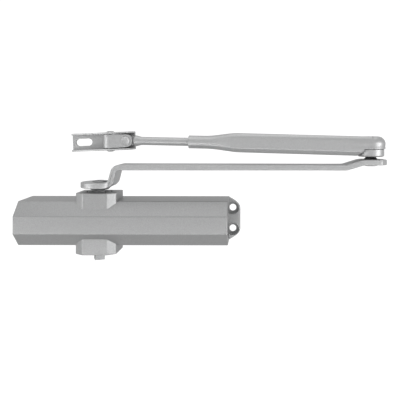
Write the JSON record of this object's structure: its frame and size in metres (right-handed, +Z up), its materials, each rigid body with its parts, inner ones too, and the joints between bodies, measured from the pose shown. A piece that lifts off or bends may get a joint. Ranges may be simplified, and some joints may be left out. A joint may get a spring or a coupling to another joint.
{
  "type": "door closer",
  "caption": "Surface-mounted rack-and-pinion door closer with a cranked main arm, an adjustable forearm and a frame shoe.",
  "frame": {"origin": "on the flat back mounting face of the body, level with the body's middle and in line with the pinion axis", "axes": "+X along the body towards the spring end, +Y into the door (the mounting face's normal), +Z up along the pinion axis"},
  "size_m": [0.4005, 0.052, 0.137],
  "materials": {
    "silver_paint": "satin aluminium paint with a fine fleck",
    "steel": "machined, bright zinc",
    "dark_steel": "black oxide",
    "brass": "turned",
    "rubber": "matt nitrile rubber"
  },
  "bodies": {
    "closer_body": {"body_casting": "silver_paint", "left_end_plug": "steel", "right_end_plug": "steel", "left_plug_seal": "rubber", "right_plug_seal": "rubber", "upper_bearing": "steel", "upper_shaft_seal": "rubber", "upper_retaining_nut": "steel", "lower_bearing": "steel", "lower_shaft_seal": "rubber", "lower_retaining_nut": "steel", "main_spring": "dark_steel"},
    "sweep_valve": {"sweep_valve": "brass"},
    "latch_valve": {"latch_valve": "brass"},
    "power_adjuster": {"power_adjuster": "steel"},
    "spring_seat": {"spring_seat": "steel"},
    "piston": {"piston": "steel", "piston_seal": "rubber", "check_valve_seat": "brass"},
    "check_ball": {"check_ball": "steel"},
    "arm": {"pinion_shaft": "steel", "main_arm": "silver_paint", "arm_screw": "steel", "elbow_stud": "silver_paint", "elbow_spacer": "dark_steel"},
    "forearm": {"elbow_bush": "silver_paint", "forearm_socket": "silver_paint"},
    "rod": {"adjusting_rod": "silver_paint"},
    "knuckle": {"knuckle": "silver_paint", "knuckle_pin": "silver_paint"},
    "shoe": {"shoe": "silver_paint", "shoe_pin": "silver_paint"}
  },
  "joints": [
    {"name": "arm_swing", "type": "hinge", "parent": "closer_body", "child": "arm", "pos_m": [0, -0.027, 0], "axis": [0, 0, -1], "range_deg": [0, 165], "stiffness_Nm_per_rad": 4, "springref_deg": -85.94},
    {"name": "piston_travel", "type": "slide", "parent": "closer_body", "child": "piston", "axis": [1, 0, 0], "range_m": [0, 0.0261], "deforming": ["main_spring"]},
    {"name": "check_lift", "type": "slide", "parent": "piston", "child": "check_ball", "axis": [1, 0, 0], "range_m": [-0.0003, 0.0009]},
    {"name": "power_adjust", "type": "hinge", "parent": "closer_body", "child": "power_adjuster", "pos_m": [0.13, -0.027, 0], "axis": [1, 0, 0], "range_deg": [0, 2885]},
    {"name": "seat_travel", "type": "slide", "parent": "closer_body", "child": "spring_seat", "axis": [-1, 0, 0], "range_m": [0, 0.01], "deforming": ["main_spring"]},
    {"name": "sweep_adjust", "type": "hinge", "parent": "closer_body", "child": "sweep_valve", "pos_m": [-0.075, -0.0136, 0.019], "axis": [-1, 0, 0], "range_deg": [0, 720]},
    {"name": "latch_adjust", "type": "hinge", "parent": "closer_body", "child": "latch_valve", "pos_m": [-0.075, -0.0136, -0.019], "axis": [-1, 0, 0], "range_deg": [0, 720]},
    {"name": "elbow_pivot", "type": "hinge", "parent": "arm", "child": "forearm", "pos_m": [0.29, -0.027, 0], "axis": [0, 0, 1], "continuous": true},
    {"name": "rod_adjust", "type": "slide", "parent": "forearm", "child": "rod", "axis": [-0.9983, 0.0553, 0.0175], "range_m": [-0.018, 0.035]},
    {"name": "knuckle_tilt", "type": "hinge", "parent": "rod", "child": "knuckle", "pos_m": [0.0263, -0.0124, 0.0861], "axis": [0.0553, 0.9985, 0], "range_deg": [-8, 8]},
    {"name": "shoe_pivot", "type": "hinge", "parent": "knuckle", "child": "shoe", "pos_m": [0.00753, -0.01136, 0.08531], "axis": [-0.0419, 0, 0.9991], "range_deg": [0, 170]}
  ],
  "couplings": [
    {"joint": "piston_travel", "follows": "arm_swing", "m_per_rad": 0.009},
    {"joint": "power_adjust", "follows": "seat_travel", "rad_per_m": 5026.5}
  ]
}
